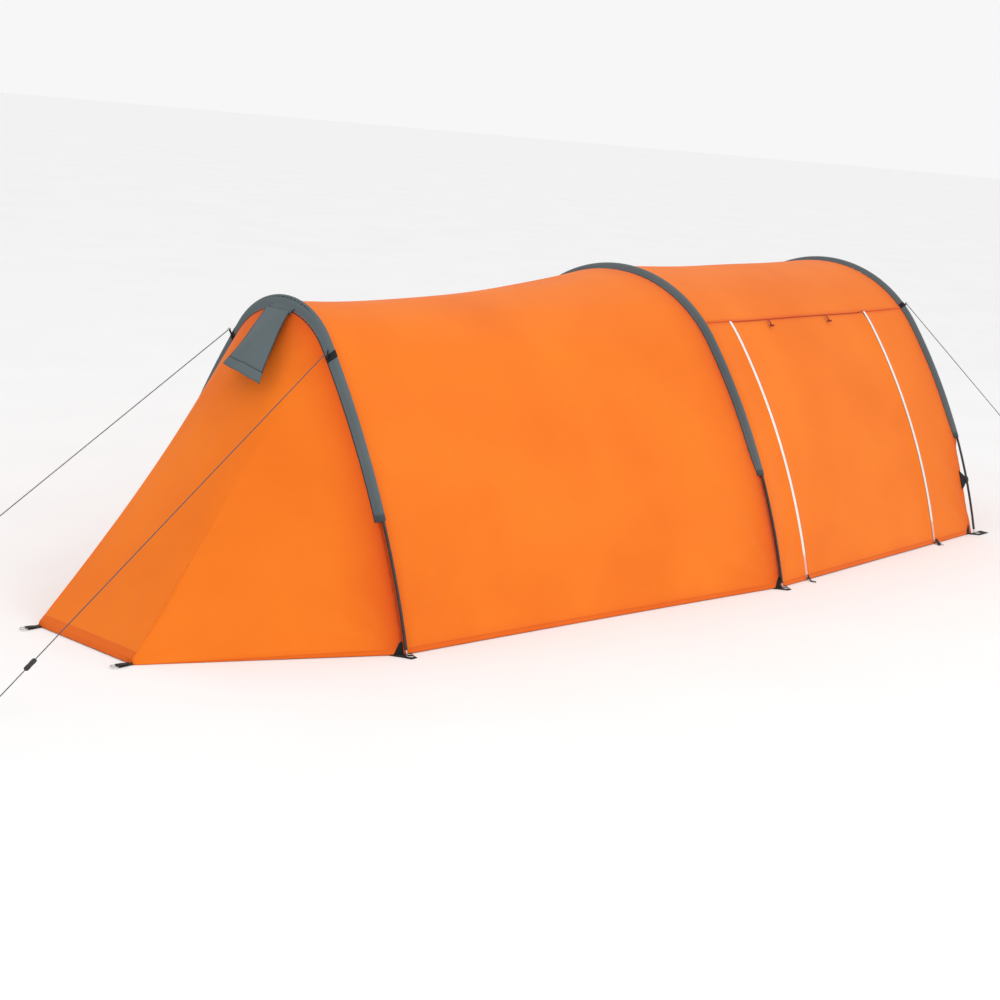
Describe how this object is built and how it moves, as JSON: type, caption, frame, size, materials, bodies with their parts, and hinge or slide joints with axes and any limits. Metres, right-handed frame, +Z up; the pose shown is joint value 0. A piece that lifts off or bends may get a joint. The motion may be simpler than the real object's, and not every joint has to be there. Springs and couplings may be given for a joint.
{
  "type": "tunnel tent",
  "caption": "Low tunnel tent on three arched poles, with a side door between two zips, a propped rear vent hood, pegging rings and guy lines.",
  "frame": {"origin": "on the ground, below the middle of the tent without its guy lines", "axes": "+X from the low rear hem to the front arch, +Z up, the side door faces -Y"},
  "size_m": [5.32, 2.03, 1.0498],
  "materials": {
    "fly_cloth": "matte woven polyester, orange",
    "sleeve_cloth": "matte woven polyester, slate grey",
    "fibreglass": "smooth black fibreglass",
    "webbing": "black woven webbing",
    "steel": "bright plated steel",
    "zip_tape": "white zip tape and coil",
    "zip_metal": "pale painted slider",
    "black_plastic": "moulded black plastic",
    "guy_cord": "braided dark cord",
    "mesh": "fine black insect mesh",
    "floor_cloth": "coated grey groundsheet",
    "inner_cloth": "light breathable inner cloth"
  },
  "bodies": {
    "tent": {"door_zip_front": "zip_tape", "door_zip_rear": "zip_tape", "fly_door_strip_front": "fly_cloth", "fly_door_strip_rear": "fly_cloth", "fly_front_panel": "fly_cloth", "fly_main_far": "fly_cloth", "fly_main_near": "fly_cloth", "fly_main_roof": "fly_cloth", "fly_porch_far": "fly_cloth", "fly_porch_roof": "fly_cloth", "fly_rear_far": "fly_cloth", "fly_rear_near": "fly_cloth", "fly_rear_slope": "fly_cloth", "foot_ring_front_far": "steel", "foot_ring_front_near": "steel", "foot_ring_middle_far": "steel", "foot_ring_middle_near": "steel", "foot_ring_rear_far": "steel", "foot_ring_rear_near": "steel", "foot_tab_front_far": "webbing", "foot_tab_front_near": "webbing", "foot_tab_middle_far": "webbing", "foot_tab_middle_near": "webbing", "foot_tab_rear_far": "webbing", "foot_tab_rear_near": "webbing", "guy_clip_front_far": "webbing", "guy_clip_front_near": "webbing", "guy_clip_rear_far": "webbing", "guy_clip_rear_near": "webbing", "guy_line_front_far": "guy_cord", "guy_line_front_near": "guy_cord", "guy_line_rear_far": "guy_cord", "guy_line_rear_near": "guy_cord", "hook_tab_far": "webbing", "hook_tab_near": "webbing", "inner_front_wall": "inner_cloth", "inner_groundsheet": "floor_cloth", "pole_front": "fibreglass", "pole_middle": "fibreglass", "pole_rear": "fibreglass", "rear_loop_far": "webbing", "rear_loop_near": "webbing", "rear_ring_far": "steel", "rear_ring_near": "steel", "sleeve_front": "sleeve_cloth", "sleeve_middle": "sleeve_cloth", "sleeve_rear": "sleeve_cloth", "vent_mesh": "mesh"},
    "door": {"door_panel": "fly_cloth", "door_toggle_rear": "black_plastic", "door_toggle_front": "black_plastic"},
    "slider_rear": {"zip_slider_rear": "zip_metal"},
    "slider_front": {"zip_slider_front": "zip_metal"},
    "hood": {"vent_hood": "sleeve_cloth"},
    "strut": {"vent_strut": "black_plastic"},
    "inner_flap": {"inner_door": "inner_cloth"},
    "runner_rear_near": {"guy_runner_rear_near": "black_plastic"},
    "runner_rear_far": {"guy_runner_rear_far": "black_plastic"},
    "runner_front_near": {"guy_runner_front_near": "black_plastic"},
    "runner_front_far": {"guy_runner_front_far": "black_plastic"}
  },
  "joints": [
    {"name": "door_swing", "type": "hinge", "parent": "tent", "child": "door", "pos_m": [1.135, -0.37995, 0.88172], "axis": [-1, 0, 0], "range_deg": [0, 110]},
    {"name": "zip_rear_run", "type": "hinge", "parent": "tent", "child": "slider_rear", "pos_m": [0.635, 1.42921, -0.60567], "axis": [-1, 0, 0], "range_deg": [0, 20.22]},
    {"name": "zip_front_run", "type": "hinge", "parent": "tent", "child": "slider_front", "pos_m": [1.635, 1.42921, -0.60567], "axis": [-1, 0, 0], "range_deg": [0, 20.22]},
    {"name": "hood_swing", "type": "hinge", "parent": "tent", "child": "hood", "pos_m": [-1.29596, 0, 0.94295], "axis": [0, -1, 0], "range_deg": [0, 7.2]},
    {"name": "strut_fold", "type": "hinge", "parent": "hood", "child": "strut", "pos_m": [-1.45925, 0.026, 0.79396], "axis": [0, -1, 0], "range_deg": [0, 72]},
    {"name": "inner_door_swing", "type": "hinge", "parent": "tent", "child": "inner_flap", "pos_m": [0.3825, 0.2955, 0.435], "axis": [0, 0, 1], "range_deg": [0, 85]},
    {"name": "runner_rear_near_slide", "type": "slide", "parent": "tent", "child": "runner_rear_near", "axis": [0.8302, 0.0761, 0.5522], "range_m": [0, 0.3]},
    {"name": "runner_rear_far_slide", "type": "slide", "parent": "tent", "child": "runner_rear_far", "axis": [0.8302, -0.0761, 0.5522], "range_m": [0, 0.3]},
    {"name": "runner_front_near_slide", "type": "slide", "parent": "tent", "child": "runner_front_near", "axis": [-0.5626, 0.4772, 0.6751], "range_m": [0, 0.3]},
    {"name": "runner_front_far_slide", "type": "slide", "parent": "tent", "child": "runner_front_far", "axis": [-0.5626, -0.4772, 0.6751], "range_m": [0, 0.3]}
  ],
  "couplings": [
    {"joint": "strut_fold", "follows": "hood_swing", "ratio": 10}
  ]
}
